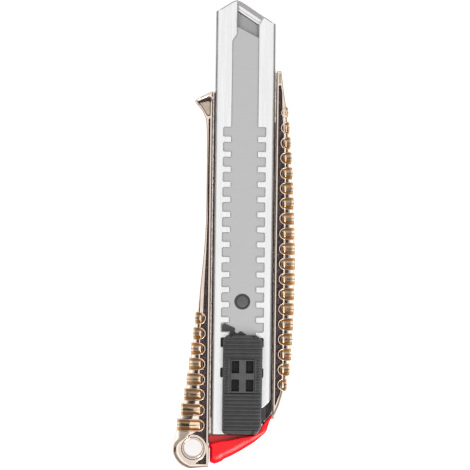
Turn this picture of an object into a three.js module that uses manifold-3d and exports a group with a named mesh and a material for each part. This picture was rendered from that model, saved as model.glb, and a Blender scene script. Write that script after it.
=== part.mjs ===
// Snap-off utility knife, 18 mm class. Millimetres, +Z up, +Y towards the blade's tip.
// The knife lies on its flat back (z = 0) with its face up. X = 0 is the middle of the blade
// channel. Lengths along Y are written from the channel's tail end, and each finished piece is
// moved back by ORIGIN_Y, so the origin is the middle of the grip on the flat back.

import * as THREE from 'three';
import { mergeVertices } from 'three/addons/utils/BufferGeometryUtils.js';
import Module from 'manifold-3d';

const wasm = await Module();
wasm.setup();

// ---- driving dimensions -------------------------------------------------------------------

const ORIGIN_Y = 60;
const BEYOND = 40; // how far a cutting tool runs past what it cuts
const FIT = 0.3; // gap between pieces that touch or slide

// handle casting
const FLOOR_TOP = 2;
const RIM_Z = 12.4;
const RECESS_Z = 11.4;
const SHOULDER_DROP = 2;
const SHOULDER_WIDTH = 1.5;
const TROUGH_LEFT = -11.05;
const TROUGH_RIGHT = 10.75;
const TROUGH_JOG_Y = -4.6;
const TROUGH_JOG_LEFT = -10.75;
const TONGUE_HALF = 2.1;
const TONGUE_PITCH = 5.12;
const TONGUE_RISE = 0.35;
const TONGUE_FOOT_Z = 4.5;
const EYE = { x: -16.25, y: -4.9, hole: 3.3, step: 3.8, ring: 4.5, outer: 7 };

// blade channel
const CHANNEL_HALF = 10.15;
const SHEET = 0.8;
const CHANNEL_BOTTOM = 8.9;
const CHANNEL_TOP = 12.7;
const SLOT_HALF = 4.45;
const NOTCH = { half: 7.15, length: 3.1, pitch: 5.1, first: 32.7, count: 15, tail: 22.5 };
const NOTCH_TOPS = [NOTCH.tail];
for (let i = 0; i < NOTCH.count; i += 1) {
  NOTCH_TOPS.push(NOTCH.first + i * NOTCH.pitch);
}
const LIP_BOTTOM = CHANNEL_TOP - SHEET;
const PLATE_TOP = CHANNEL_BOTTOM + SHEET;
const RIVET = { shank: 1, head: 1.7, bottom: 4.3 };
const RIVETS = { front_left: [-2, 115.8], front_right: [6, 115.8], tail: [-7.2, 3] };

// blade
const BLADE_HALF = 9;
const BLADE_THICK = 0.6;
const BLADE_Z = 11.05;
const BLADE_TAIL = 33.3;
const BLADE_TIP = 141.3;
const SLANT = 0.515; // drop along Y for each millimetre towards the spine
const SCORE_PITCH = 10.3;
const SCORE_COUNT = 7;
const STUD = { x: -0.1, y: 45, radius: 2.7 };

// magazine
const TRAY = { outer: 10.45, inner: 9.45, bottom: 2.2, floor: 3, top: 8.7, tail: 5.4 };
const SPARE_Z = [5.7, 6.4, 7.1];
const SPARE_TAIL = 6.2;

// slider
const CARRIER_HALF = 8.3;
const BUTTON = { left: -6.45, right: 6.95, tail: 0.2, front: 33.7, bottom: 12.9, top: 17.3 };
const FLANGE = { half: 5.5, bottom: 13.5, top: 14.3, tail: 1.6, front: 30.7 };
const BUTTON_TRAVEL = 1.6;
const INSERT = {
  x: [-4, 4.4],
  y: [14.05, 25.6],
  depth: 1.7,
  windowX: [[-3.5, -0.9], [1.4, 3.95]],
  windowY: [[14.6, 18.8], [20.85, 25.05]],
};
const PIVOT = [-2.9, 20.5];
const PEG = [-3.45, 30.5];
const PEG_RELEASED = [-1.62, 32.03]; // the peg's place in the button once it is pulled back
const SPRING = { x: 2.4, z: 13.05, radius: 0.85, wire: 0.15, tail: 22.4, front: 29.8, turns: 6 };

// end cap
const CAP = { bottom: 0.3, top: 11.5, shelf: 9.6, left: -10.85, jogLeft: -10.5 };

// ---- materials ----------------------------------------------------------------------------

const material = (color, roughness, metalness) =>
  new THREE.MeshStandardMaterial({ color, roughness, metalness });

const rosePlating = material(0xd9b59c, 0.18, 1);
const brushedSteel = material(0xd2d3d4, 0.35, 1);
const bladeSteel = material(0xb9bcbd, 0.3, 1);
const springSteel = material(0x9a9c9e, 0.3, 1);
const blackPlastic = material(0x2b2b2c, 0.6, 0);
const redPlastic = material(0xe0202a, 0.25, 0);

// ---- helpers ------------------------------------------------------------------------------

const vectors = (points) => points.map(([x, y]) => new THREE.Vector2(x, y));

const smooth = (points, steps) =>
  new THREE.SplineCurve(vectors(points)).getPoints(steps).map((p) => [p.x, p.y]);

function arc(x, y, radius, fromDegrees, toDegrees, steps) {
  const points = [];
  for (let i = 0; i <= steps; i += 1) {
    const angle = THREE.MathUtils.degToRad(fromDegrees + ((toDegrees - fromDegrees) * i) / steps);
    points.push([x + radius * Math.cos(angle), y + radius * Math.sin(angle)]);
  }
  return points;
}

const stadium = ([x0, y0], [x1, y1], radius, steps = 6) => {
  const heading = THREE.MathUtils.radToDeg(Math.atan2(y1 - y0, x1 - x0));
  return [
    ...arc(x1, y1, radius, heading - 90, heading + 90, steps),
    ...arc(x0, y0, radius, heading + 90, heading + 270, steps),
  ];
};

function solid(geometry) {
  geometry.deleteAttribute('normal');
  geometry.deleteAttribute('uv');
  const merged = mergeVertices(geometry, 1e-4);
  return new wasm.Manifold(
    new wasm.Mesh({
      numProp: 3,
      vertProperties: merged.attributes.position.array,
      triVerts: Uint32Array.from(merged.index.array),
    }),
  );
}

// A prism on a plan outline between two heights; a round edge can be asked for with bevel.
function prism(points, z0, z1, bevel = {}) {
  const { drop = 0, width = 0, grow = 0, segments = 2 } = bevel;
  const geometry = new THREE.ExtrudeGeometry(new THREE.Shape(vectors(points)), {
    depth: z1 - z0 - 2 * drop,
    bevelEnabled: drop > 0,
    bevelThickness: drop,
    bevelSize: width,
    bevelOffset: grow - width,
    bevelSegments: segments,
    steps: 1,
  });
  geometry.translate(0, 0, z0 + drop);
  return solid(geometry);
}

// A section drawn in X and Z, swept along Y.
function sweptAlongY(points, y0, y1) {
  const geometry = new THREE.ExtrudeGeometry(new THREE.Shape(vectors(points)), {
    depth: y1 - y0,
    bevelEnabled: false,
  });
  geometry.rotateX(Math.PI / 2);
  geometry.translate(0, y1, 0);
  return solid(geometry);
}

function box(x0, x1, y0, y1, z0, z1) {
  const geometry = new THREE.BoxGeometry(x1 - x0, y1 - y0, z1 - z0);
  geometry.translate((x0 + x1) / 2, (y0 + y1) / 2, (z0 + z1) / 2);
  return solid(geometry);
}

// A turned solid about a vertical axis, from [radius, z] pairs that start and end on the axis.
function turned(profile, [x, y], segments = 20) {
  const geometry = new THREE.LatheGeometry(vectors(profile), segments);
  geometry.rotateX(Math.PI / 2);
  geometry.translate(x, y, 0);
  return solid(geometry);
}

const cylinder = (radius, z0, z1, centre, segments = 20) =>
  turned([[0, z0], [radius, z0], [radius, z1], [0, z1]], centre, segments);

const knife = new THREE.Group();

function addPiece(name, piece, look) {
  const mesh = piece.getMesh();
  const geometry = new THREE.BufferGeometry();
  geometry.setAttribute('position', new THREE.BufferAttribute(mesh.vertProperties, 3));
  geometry.setIndex(new THREE.BufferAttribute(mesh.triVerts, 1));
  geometry.translate(0, -ORIGIN_Y, 0);
  geometry.computeVertexNormals();
  const part = new THREE.Mesh(geometry, look);
  part.name = name;
  knife.add(part);
}

// ---- handle casting -----------------------------------------------------------------------

// The shoulder line of the casting, going round from the tail of the right wing.
const handleOutline = [
  ...smooth([[10.95, 5], [12.6, 9.5], [14, 15], [15.6, 22], [16.65, 33], [17.4, 55],
    [16.95, 72], [16.1, 88.5], [14.8, 104], [13.5, 112.8], [12.15, 123.7]], 20),
  [-11.05, 116.4],
  ...smooth([[-17.15, 112.9], [-14.85, 110], [-13.35, 107], [-12.95, 103]], 5),
  ...smooth([[-12.8, 88], [-12.95, 70], [-13.85, 57], [-15.1, 43], [-16.8, 30],
    [-19.5, 11], [-21.95, 1], [-23.1, -4]], 12),
  ...arc(EYE.x, EYE.y, EYE.outer, 190, 270, 5),
  [-10.9, -11.2],
  [-10.9, -3.5],
];

const tongueRows = [
  { side: 1, first: 17, count: 19, inner: 12.1 },
  { side: -1, first: 3, count: 8, inner: 12.35 },
];

function gripTongues() {
  const reach = 30;
  const tongues = tongueRows.flatMap(({ side, first, count, inner }) =>
    Array.from({ length: count }, (_, i) => {
      const y = first + i * TONGUE_PITCH;
      const start = side * (inner + TONGUE_HALF + 0.03 * Math.max(0, y - 92));
      const ends = [[start, y], [side * reach, y]];
      return prism(stadium(...(side > 0 ? ends : ends.reverse()), TONGUE_HALF), TONGUE_FOOT_Z, 13);
    }),
  );
  const shell = prism(handleOutline, 0, RIM_Z + TONGUE_RISE, {
    drop: SHOULDER_DROP,
    width: SHOULDER_WIDTH,
    grow: TONGUE_RISE,
  });
  return wasm.Manifold.union(tongues).intersect(shell);
}

// Sunk beds beside the trough: a thin groove up the left wing that opens into the finger guard,
// the bed of the left tongues with the pocket round the eye, and the bed of the right tongues.
function beds() {
  const bed = (points) => prism(points, RECESS_Z, RIM_Z + 1);
  return wasm.Manifold.union([
    bed([[-11.6, -10.1], [-11.6, 114.6], [-12.3, 114.8], [-15.9, 113.2], [-12.5, 108],
      [-12.2, 105], [-12.2, 72], [-13.05, 50], [-14.15, 41], [-14.15, 3], [-18.1, 0.5],
      [-18.6, -0.6], [-16.2, -1], [-16.2, -9], [-15.3, -9.6], [-15.3, -10.1]]),
    bed([[11.35, 14.5], [12.1, 14.5], [13.75, 22], [13.75, 90], [12.6, 112], [11.6, 121],
      [11.35, 121]]),
  ]);
}

function handleBody() {
  const edge = { drop: SHOULDER_DROP, width: SHOULDER_WIDTH };
  const trough = box(TROUGH_LEFT, TROUGH_RIGHT, TROUGH_JOG_Y, 130, FLOOR_TOP, BEYOND)
    .add(box(TROUGH_JOG_LEFT, TROUGH_RIGHT, -BEYOND, TROUGH_JOG_Y + 0.1, FLOOR_TOP, BEYOND));
  const boss = prism(
    [[-5.2, 114.7], [9.6, 106.8], [9.6, 122], [-5.2, 117.2]],
    FLOOR_TOP - 1,
    CHANNEL_BOTTOM - FIT,
  );
  const ring = cylinder(EYE.ring, RECESS_Z - 1, RIM_Z, [EYE.x, EYE.y], 32);
  const hole = turned(
    [[0, -BEYOND], [EYE.hole, -BEYOND], [EYE.hole, RIM_Z - 0.5], [EYE.step, RIM_Z - 0.5],
      [EYE.step, BEYOND], [0, BEYOND]],
    [EYE.x, EYE.y],
    32,
  );
  let body = prism(handleOutline, 0, RIM_Z, edge)
    .subtract(trough)
    .subtract(beds())
    .add(ring)
    .add(gripTongues())
    .subtract(hole)
    .add(boss)
    .add(cylinder(RIVET.shank + 1.1, FLOOR_TOP - 1, CHANNEL_BOTTOM - FIT, RIVETS.tail));
  for (const centre of Object.values(RIVETS)) {
    body = body.subtract(
      cylinder(RIVET.shank + FIT, RIVET.bottom - FIT, BEYOND, centre, 16),
    );
  }
  return body;
}

// ---- blade channel ------------------------------------------------------------------------

// The countersunk hole that a rivet's flush head sits in.
const rivetSeat = [
  [0, CHANNEL_BOTTOM - 1],
  [RIVET.shank + FIT, CHANNEL_BOTTOM - 1],
  [RIVET.shank + FIT, CHANNEL_BOTTOM],
  [RIVET.head + FIT, PLATE_TOP],
  [RIVET.head + FIT, PLATE_TOP + 1],
  [0, PLATE_TOP + 1],
];

function bladeChannel() {
  const half = CHANNEL_HALF;
  const bend = 0.7;
  const outer = [
    ...arc(half - bend, CHANNEL_BOTTOM + bend, bend, -90, 0, 2),
    ...arc(half - bend, CHANNEL_TOP - bend, bend, 0, 90, 2),
    ...arc(-half + bend, CHANNEL_TOP - bend, bend, 90, 180, 2),
    ...arc(-half + bend, CHANNEL_BOTTOM + bend, bend, 180, 270, 2),
  ];
  const plan = [
    [-half, 0],
    [3.9, 0],
    [3.9, 8.2],
    [7.05, 9],
    [8.7, 10.3],
    [half, 12.4],
    [half, 139.1],
    ...arc(-2.94, 144.1, 3.1, 56, 122, 5),
    [-half, 143.25],
  ];
  const slot = [
    [-SLOT_HALF, -5],
    [SLOT_HALF, -5],
    [SLOT_HALF, 139.4],
    [6.4, 141.6],
    [6.4, 150],
    [-2.65, 150],
    [-2.95, 135.6],
    [-SLOT_HALF, 133.5],
  ];
  const inside = box(-half + SHEET, half - SHEET, -5, 150, PLATE_TOP, LIP_BOTTOM);
  let channel = sweptAlongY(outer, -1, 148)
    .intersect(prism(plan, 0, 20))
    .subtract(inside)
    .subtract(prism(slot, LIP_BOTTOM - 0.5, 20));
  for (const top of NOTCH_TOPS) {
    channel = channel.subtract(
      box(-NOTCH.half, NOTCH.half, top - NOTCH.length, top, LIP_BOTTOM - 0.5, 20),
    );
  }
  for (const centre of Object.values(RIVETS)) {
    channel = channel.subtract(turned(rivetSeat, centre, 16));
  }
  // two beads pressed across the plate, side by side along the slanted nose
  const beads = [143.9, 144.8].map((y) =>
    prism(
      [[-3.6, y], [6.8, y - 6.4], [6.8, y - 5.9], [-3.6, y + 0.5]],
      PLATE_TOP - 0.3,
      PLATE_TOP + 0.5,
    ),
  );
  return channel.add(wasm.Manifold.union(beads));
}

function channelRivet(centre) {
  const { shank, head, bottom } = RIVET;
  const profile = [[0, bottom], [shank, bottom], [shank, CHANNEL_BOTTOM], [head, PLATE_TOP - 0.1],
    [0, PLATE_TOP - 0.1]];
  return turned(profile, centre, 16);
}

// ---- blades -------------------------------------------------------------------------------

function snapOffBlade(tail, z, holeY) {
  const tip = tail + BLADE_TIP - BLADE_TAIL;
  const edge = -BLADE_HALF;
  const ground = 1.3;
  const section = [
    [edge, z + BLADE_THICK / 2],
    [edge + ground, z],
    [BLADE_HALF, z],
    [BLADE_HALF, z + BLADE_THICK],
    [edge + ground, z + BLADE_THICK],
  ];
  const plan = [
    [edge, tail],
    [BLADE_HALF, tail],
    [BLADE_HALF, tip - 2 * BLADE_HALF * SLANT],
    [edge, tip],
  ];
  let blade = sweptAlongY(section, tail, tip)
    .intersect(prism(plan, z - 1, z + 2))
    .subtract(cylinder(STUD.radius + FIT, z - 1, z + 2, [STUD.x, holeY]));
  for (let i = 1; i <= SCORE_COUNT; i += 1) {
    const y = tip - i * SCORE_PITCH;
    const score = [
      [edge - 1, y + SLANT],
      [edge - 1, y + SLANT - 0.25],
      [BLADE_HALF + 1, y - (2 * BLADE_HALF + 1) * SLANT - 0.25],
      [BLADE_HALF + 1, y - (2 * BLADE_HALF + 1) * SLANT],
    ];
    blade = blade.subtract(prism(score, z + BLADE_THICK - 0.15, z + 2));
  }
  return blade;
}

// ---- magazine -----------------------------------------------------------------------------

// The front wall of the tray slopes like the tip of a blade. The tail corner carries a web
// that fills the gap beside the slider and follows the arm of the end cap.
function magazineTray() {
  const { outer, inner, bottom, floor, top, tail } = TRAY;
  const tailCorner = [[6.8, 3.2], [8.15, 5], [9.5, 6.35], [outer, 8]];
  const outside = [[-outer, tail], [5.3, tail], ...tailCorner, [outer, 106], [-outer, 115.8]];
  const hollow = [[-inner, 0], [inner, 0], [inner, 104.9], [-inner, 114.7]];
  const web = [[5.3, 1.1], [6.1, 1.7], ...tailCorner, [outer, 13], [5.3, 13]];
  return prism(outside, bottom, top)
    .subtract(prism(hollow, floor, top + 1))
    .add(prism(web, top - 0.8, top));
}

function magazineSpring() {
  const thickness = 0.3;
  const ends = [20, 100];
  const rise = 1.9;
  const foot = TRAY.floor + FIT;
  const lower = [];
  const upper = [];
  for (let i = 0; i <= 12; i += 1) {
    const y = ends[0] + ((ends[1] - ends[0]) * i) / 12;
    const z = foot + rise * Math.sin((Math.PI * i) / 12);
    lower.push([y, z]);
    upper.unshift([y, z + thickness]);
  }
  const geometry = new THREE.ExtrudeGeometry(new THREE.Shape(vectors([...lower, ...upper])), {
    depth: 14,
    bevelEnabled: false,
  });
  geometry.rotateX(Math.PI / 2);
  geometry.rotateZ(Math.PI / 2);
  geometry.translate(-7, 0, 0);
  return solid(geometry);
}

// ---- slider -------------------------------------------------------------------------------

function bladeCarrier() {
  const blockTop = 11.75;
  const block = [
    [-CARRIER_HALF, 1],
    [4.9, 1],
    [CARRIER_HALF, 5.6],
    [CARRIER_HALF, 32.9],
    [-CARRIER_HALF, 32.9],
  ];
  const strip = box(-3.9, 3.9, 30, 51, PLATE_TOP + 0.15, BLADE_Z - 0.2);
  const neck = box(-4.2, 4.2, FLANGE.tail, FLANGE.front, blockTop - 1, FLANGE.bottom + 0.1);
  const flange = box(-FLANGE.half, FLANGE.half, FLANGE.tail, FLANGE.front, FLANGE.bottom, FLANGE.top);
  const latchPocket = box(-6, -0.2, 18.4, 34, blockTop + 0.1, 12.95);
  const pegWindow = box(-6, -0.4, 28.8, 34, 12.9, 20);
  const springPocket = box(1.1, 3.7, 22, 34, blockTop + 0.15, 20);
  return prism(block, PLATE_TOP + 0.15, blockTop)
    .add(strip)
    .add(neck)
    .add(flange)
    .subtract(latchPocket)
    .subtract(pegWindow)
    .subtract(springPocket)
    .subtract(cylinder(0.95, 10.6, 20, PIVOT, 12))
    .subtract(cylinder(1.5, 0, 20, [STUD.x, STUD.y], 16));
}

function bladeStud() {
  const foot = 1.2;
  const shoulder = 10.95;
  const profile = [[0, 9.95], [foot, 9.95], [foot, shoulder], [STUD.radius, shoulder],
    [STUD.radius, 11.9], [0, 11.9]];
  return turned(profile, [STUD.x, STUD.y], 24);
}

function lockLatch() {
  const z0 = 11.95;
  const z1 = 12.65;
  const [px, py] = PIVOT;
  const arm = [
    [px - 1.3, py],
    [px + 1.3, py],
    [-2.5, 32.2],
    [1.2, 32.2],
    [1.35, 33.9],
    [-0.55, 35],
    [-1.65, 34.2],
    [-2.5, 34.6],
    [-2.55, 36],
    ...arc(-6.15, 36.8, 0.7, 65, 180, 4),
    [-6.85, 35],
    [-4.2, 35],
  ];
  return prism(arm, z0, z1)
    .add(cylinder(1.45, z0, z1, PIVOT, 16))
    .add(cylinder(0.6, z0, 15.1, PEG, 12))
    .subtract(cylinder(0.95, 0, 20, PIVOT, 12));
}

const latchPin = () => cylinder(0.7, 10.9, 13.9, PIVOT, 12);

function thumbButton() {
  const { left, right, tail, front, bottom, top } = BUTTON;
  const roof = 14.6;
  const outline = [
    [left + 0.9, tail],
    [right - 1.6, tail],
    [right - 0.15, tail + 2.2],
    [right, front - 1.9],
    [right - 2, front],
    [left + 1.4, front],
    [left, front - 1.4],
    [left, tail + 0.9],
  ];
  const flangeRoom = box(
    -FLANGE.half - FIT,
    FLANGE.half + FIT,
    FLANGE.tail - FIT,
    FLANGE.front + BUTTON_TRAVEL + FIT,
    FLANGE.bottom - 0.2,
    roof,
  );
  const neckRoom = box(
    -SLOT_HALF,
    SLOT_HALF,
    FLANGE.tail - FIT,
    FLANGE.front + BUTTON_TRAVEL + FIT,
    bottom - 1,
    roof,
  );
  const springTab = box(1.4, 3.4, 30.1, 30.9, 12.4, roof + 0.5);
  const cam = prism(stadium(PEG, PEG_RELEASED, 0.85), roof - 1, 15.5);
  let button = prism(outline, bottom - 0.6, top, { drop: 0.6, width: 0.5, segments: 1 })
    .subtract(box(-20, 20, -5, 40, 0, bottom))
    .subtract(flangeRoom)
    .subtract(neckRoom)
    .add(springTab)
    .subtract(cam);
  const rib = 1.27;
  const ribRows = [
    { first: 1.6, count: 11 },
    { first: 26.2, count: 6 },
  ];
  for (const { first, count } of ribRows) {
    for (let i = 0; i < count; i += 1) {
      const y = first + i * rib;
      button = button.subtract(box(left - 1, right + 1, y, y + 0.5, top - 0.45, top + 1));
    }
  }
  const { x, y, depth } = INSERT;
  return button.subtract(box(x[0], x[1], y[0], y[1], top - depth, top + 1));
}

// The flat frame set into the middle of the button, with two rows of two windows.
function buttonInsert() {
  const { x, y, depth, windowX, windowY } = INSERT;
  const gap = 0.15;
  const foot = BUTTON.top - depth + gap;
  let frame = box(x[0] + gap, x[1] - gap, y[0] + gap, y[1] - gap, foot, BUTTON.top - 0.1);
  for (const [x0, x1] of windowX) {
    for (const [y0, y1] of windowY) {
      frame = frame.subtract(box(x0, x1, y0, y1, 0, 20));
    }
  }
  return frame;
}

class Helix extends THREE.Curve {
  getPoint(t, target = new THREE.Vector3()) {
    const angle = 2 * Math.PI * SPRING.turns * t;
    return target.set(
      SPRING.x + SPRING.radius * Math.cos(angle),
      SPRING.tail + SPRING.wire + (SPRING.front - SPRING.tail - 2 * SPRING.wire) * t,
      SPRING.z + SPRING.radius * Math.sin(angle),
    );
  }
}

function buttonSpring() {
  const wire = new THREE.Shape(vectors(arc(0, 0, SPRING.wire, 0, 288, 4)));
  const geometry = new THREE.ExtrudeGeometry(wire, {
    steps: SPRING.turns * 10,
    extrudePath: new Helix(),
  });
  return solid(geometry);
}

// ---- end cap ------------------------------------------------------------------------------

function endCap() {
  const { bottom, top, shelf, left, jogLeft } = CAP;
  const inner = [[10.4, 7], [9.75, 6], [8.45, 4.7], [7.15, 3], [6.45, 1.4], [5.5, 0.6],
    [4.15, -0.3], [0.15, -1], [-3.85, -2], [left, -3.1]];
  const outer = [
    [left, TROUGH_JOG_Y + FIT],
    [jogLeft, TROUGH_JOG_Y - FIT],
    [jogLeft, -9.7],
    [-8.85, -10.2],
    [-6.05, -9],
    [-5.8, -8.5],
    ...smooth([[-4.85, -8.1], [0.15, -5.4], [4.15, -2.9], [8.15, 0.6], [9.15, 3]], 10),
    [9.75, 4.8],
    [10.4, 5.7],
  ];
  const shelfPlan = [[left, -0.3], [left, -4], [-2, -3], [5, -1], [5, 0.1], [4.4, -0.3]];
  const floorRoom = prism(
    [[-BEYOND, -3.9 - 11.4], [-10.9, -3.9], [10.95, 4.6], [BEYOND, 15.9], [BEYOND, 60],
      [-BEYOND, 60]],
    -1,
    FLOOR_TOP + FIT,
  );
  const tongue = box(-4.6, 6, -3, 16, TRAY.floor + FIT, 4.7);
  const plug = box(-4.6, 5, -3.2, 4.8, FLOOR_TOP + FIT, 7.6);
  return prism([...inner, ...outer], bottom, top)
    .add(prism(shelfPlan, bottom, shelf))
    .subtract(floorRoom)
    .add(plug)
    .add(tongue);
}

// ---- the knife ----------------------------------------------------------------------------

addPiece('handle_body', handleBody(), rosePlating);
addPiece('blade_channel', bladeChannel(), brushedSteel);
for (const [place, centre] of Object.entries(RIVETS)) {
  addPiece(`channel_rivet_${place}`, channelRivet(centre), springSteel);
}
addPiece('magazine_tray', magazineTray(), blackPlastic);
addPiece('magazine_spring', magazineSpring(), springSteel);
SPARE_Z.forEach((z, i) => {
  addPiece(`spare_blade_${i + 1}`, snapOffBlade(SPARE_TAIL, z, SPARE_TAIL + STUD.y - BLADE_TAIL),
    bladeSteel);
});
addPiece('end_cap', endCap(), redPlastic);
addPiece('blade_carrier', bladeCarrier(), blackPlastic);
addPiece('blade', snapOffBlade(BLADE_TAIL, BLADE_Z, STUD.y), bladeSteel);
addPiece('blade_stud', bladeStud(), blackPlastic);
addPiece('latch_pin', latchPin(), springSteel);
addPiece('lock_latch', lockLatch(), blackPlastic);
addPiece('thumb_button', thumbButton(), blackPlastic);
addPiece('button_insert', buttonInsert(), blackPlastic);
addPiece('button_spring', buttonSpring(), springSteel);

export default knife;
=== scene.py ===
"""Snap-off utility knife: the visual model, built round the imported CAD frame.

The knife lies on its flat back with its face up and its blade along +Y. Shapes are written in
millimetres: X from the middle of the blade channel, Y from the channel's tail end, Z from the
flat back. Shape.piece turns them into the frame's metres, with the offset read from the frame.
"""

import math

import bmesh
import bpy
import numpy as np
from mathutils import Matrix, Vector
from mathutils.geometry import tessellate_polygon


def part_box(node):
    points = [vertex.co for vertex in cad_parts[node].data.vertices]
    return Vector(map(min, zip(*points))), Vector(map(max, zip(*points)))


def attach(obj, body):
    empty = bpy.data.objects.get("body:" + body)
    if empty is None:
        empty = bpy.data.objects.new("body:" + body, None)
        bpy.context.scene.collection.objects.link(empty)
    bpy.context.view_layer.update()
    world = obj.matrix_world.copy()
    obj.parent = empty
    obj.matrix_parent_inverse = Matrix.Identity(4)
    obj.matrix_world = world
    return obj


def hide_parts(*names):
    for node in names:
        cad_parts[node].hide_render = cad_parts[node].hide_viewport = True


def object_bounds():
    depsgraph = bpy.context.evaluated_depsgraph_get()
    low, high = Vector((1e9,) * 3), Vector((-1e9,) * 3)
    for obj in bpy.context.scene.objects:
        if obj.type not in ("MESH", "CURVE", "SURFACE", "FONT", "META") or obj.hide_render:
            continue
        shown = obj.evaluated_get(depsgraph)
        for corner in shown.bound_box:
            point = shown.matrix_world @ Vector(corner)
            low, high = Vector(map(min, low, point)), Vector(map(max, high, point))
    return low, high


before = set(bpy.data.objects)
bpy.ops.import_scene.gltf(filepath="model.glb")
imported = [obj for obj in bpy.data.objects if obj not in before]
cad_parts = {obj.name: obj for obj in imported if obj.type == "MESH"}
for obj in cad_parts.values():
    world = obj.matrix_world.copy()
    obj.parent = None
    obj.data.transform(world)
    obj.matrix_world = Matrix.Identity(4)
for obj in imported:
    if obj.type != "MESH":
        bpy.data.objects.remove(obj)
CAD_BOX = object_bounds()

# ---- frame and driving sizes ----------------------------------------------------------------

MM = 0.001


def node_box(name):
    """A CAD node's corners in millimetres."""
    low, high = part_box(name)
    return np.array(low) / MM, np.array(high) / MM


CHANNEL_LOW, CHANNEL_HIGH = node_box("blade_channel")
ORIGIN = np.array([(CHANNEL_LOW[0] + CHANNEL_HIGH[0]) / 2, CHANNEL_LOW[1], 0.0])
CHANNEL_HALF = (CHANNEL_HIGH[0] - CHANNEL_LOW[0]) / 2
SHEET = 0.8
LIP_TOP = CHANNEL_HIGH[2]
LIP_BOTTOM = LIP_TOP - SHEET
PLATE_BOTTOM = CHANNEL_LOW[2]
PLATE_TOP = PLATE_BOTTOM + SHEET
SLOT_HALF = 4.45

RIM_Z = 12.4
BED_Z = 11.4
FLOOR_TOP = 2.0
TROUGH_LEFT, TROUGH_RIGHT = -11.05, 10.75
EYE = (-16.25, -4.9)
EYE_HOLE = 3.12

BLADE_LOW, BLADE_HIGH = node_box("blade")
BUTTON_LOW, BUTTON_HIGH = node_box("thumb_button")
CAP_LOW, CAP_HIGH = node_box("end_cap")


# ---- outlines -------------------------------------------------------------------------------


def spline(points, step=0.9):
    """Points along a Catmull-Rom curve through the given points."""
    pts = [np.array(p, float) for p in points]
    pts = [2 * pts[0] - pts[1]] + pts + [2 * pts[-1] - pts[-2]]
    out = []
    for a, b, c, d in zip(pts, pts[1:], pts[2:], pts[3:]):
        count = max(1, int(round(np.linalg.norm(c - b) / step)))
        for i in range(count):
            t = i / count
            out.append(
                0.5
                * (
                    2 * b
                    + (c - a) * t
                    + (2 * a - 5 * b + 4 * c - d) * t**2
                    + (3 * b - a - 3 * c + d) * t**3
                )
            )
    out.append(pts[-2])
    return [tuple(p) for p in out]


def arc(centre, radius, start, end, steps):
    """Points along an arc, from one angle to another, in degrees."""
    angles = np.radians(np.linspace(start, end, steps + 1))
    return [(centre[0] + radius * math.cos(a), centre[1] + radius * math.sin(a)) for a in angles]


def rounded(points, longest=1.6):
    """A closed outline with its corners rounded: a corner is (x, y, radius), a plain point (x, y)."""
    out = []
    count = len(points)
    for i, p in enumerate(points):
        here = np.array(p[:2], float)
        radius = p[2] if len(p) > 2 else 0
        if not radius:
            out.append(here)
            continue
        before = np.array(points[i - 1][:2], float) - here
        after = np.array(points[(i + 1) % count][:2], float) - here
        reach = 0.48 * min(np.linalg.norm(before), np.linalg.norm(after))
        before /= np.linalg.norm(before)
        after /= np.linalg.norm(after)
        half = math.acos(max(-1, min(1, before @ after))) / 2
        cut = min(reach, radius / math.tan(half))
        radius = cut * math.tan(half)
        middle = before + after
        centre = here + middle / np.linalg.norm(middle) * radius / math.sin(half)
        first, last = here + before * cut - centre, here + after * cut - centre
        turn = math.atan2(first[0] * last[1] - first[1] * last[0], first @ last)
        steps = max(2, int(abs(math.degrees(turn)) / 15))
        start = math.atan2(first[1], first[0])
        for k in range(steps + 1):
            angle = start + turn * k / steps
            out.append(centre + radius * np.array([math.cos(angle), math.sin(angle)]))
    return subdivided(out, longest)


def subdivided(points, longest):
    """The same closed outline with no edge longer than asked."""
    out = []
    for a, b in zip(points, points[1:] + points[:1]):
        a, b = np.array(a, float), np.array(b, float)
        gap = np.linalg.norm(b - a)
        if gap < 1e-4:
            continue
        count = max(1, math.ceil(gap / longest))
        out += [a + (b - a) * k / count for k in range(count)]
    return np.array(out)


def inward(outline):
    """For each point of an anticlockwise outline, the way in, stretched at corners to keep offsets even."""
    ahead = np.roll(outline, -1, axis=0) - outline
    ahead /= np.linalg.norm(ahead, axis=1)[:, None]
    behind = np.roll(ahead, 1, axis=0)
    n1 = np.stack([-ahead[:, 1], ahead[:, 0]], axis=1)
    n0 = np.stack([-behind[:, 1], behind[:, 0]], axis=1)
    middle = n0 + n1
    middle /= np.maximum(np.linalg.norm(middle, axis=1)[:, None], 1e-6)
    share = np.maximum((middle * n1).sum(1), 0.6)
    return middle / share[:, None]


def crossing(p, along, q, other):
    """Where two lines meet, or halfway between their points when they run side by side."""
    cross = along[0] * other[1] - along[1] * other[0]
    if abs(cross) < 1e-9:
        return (p + q) / 2
    gap = q - p
    return p + along * (gap[0] * other[1] - gap[1] * other[0]) / cross


def offset(outline, width):
    """The outline moved inwards by a width for each point, with folded corners drawn to a mitre."""
    moved = outline + inward(outline) * width[:, None]
    edges = np.roll(outline, -1, axis=0) - outline
    count = len(outline)
    for _ in range(20):
        now = np.roll(moved, -1, axis=0) - moved
        forward = (now * edges).sum(1)
        folded = np.flatnonzero(forward < -1e-9)
        if not len(folded):
            break
        first = last = folded[0]
        while forward[first % count] < 1e-9:
            first -= 1
        while forward[last % count] < 1e-9:
            last += 1
        first_point, last_point = (first + 1) % count, last % count
        corner = crossing(moved[first_point], now[first % count], moved[last_point], now[last % count])
        for k in range(first + 1, last + 1):
            moved[k % count] = corner
    return moved


def anticlockwise(outline):
    x, y = outline[:, 0], outline[:, 1]
    area = (x * np.roll(y, -1) - np.roll(x, -1) * y).sum()
    return outline if area > 0 else outline[::-1].copy()


# ---- meshes ---------------------------------------------------------------------------------


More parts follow.
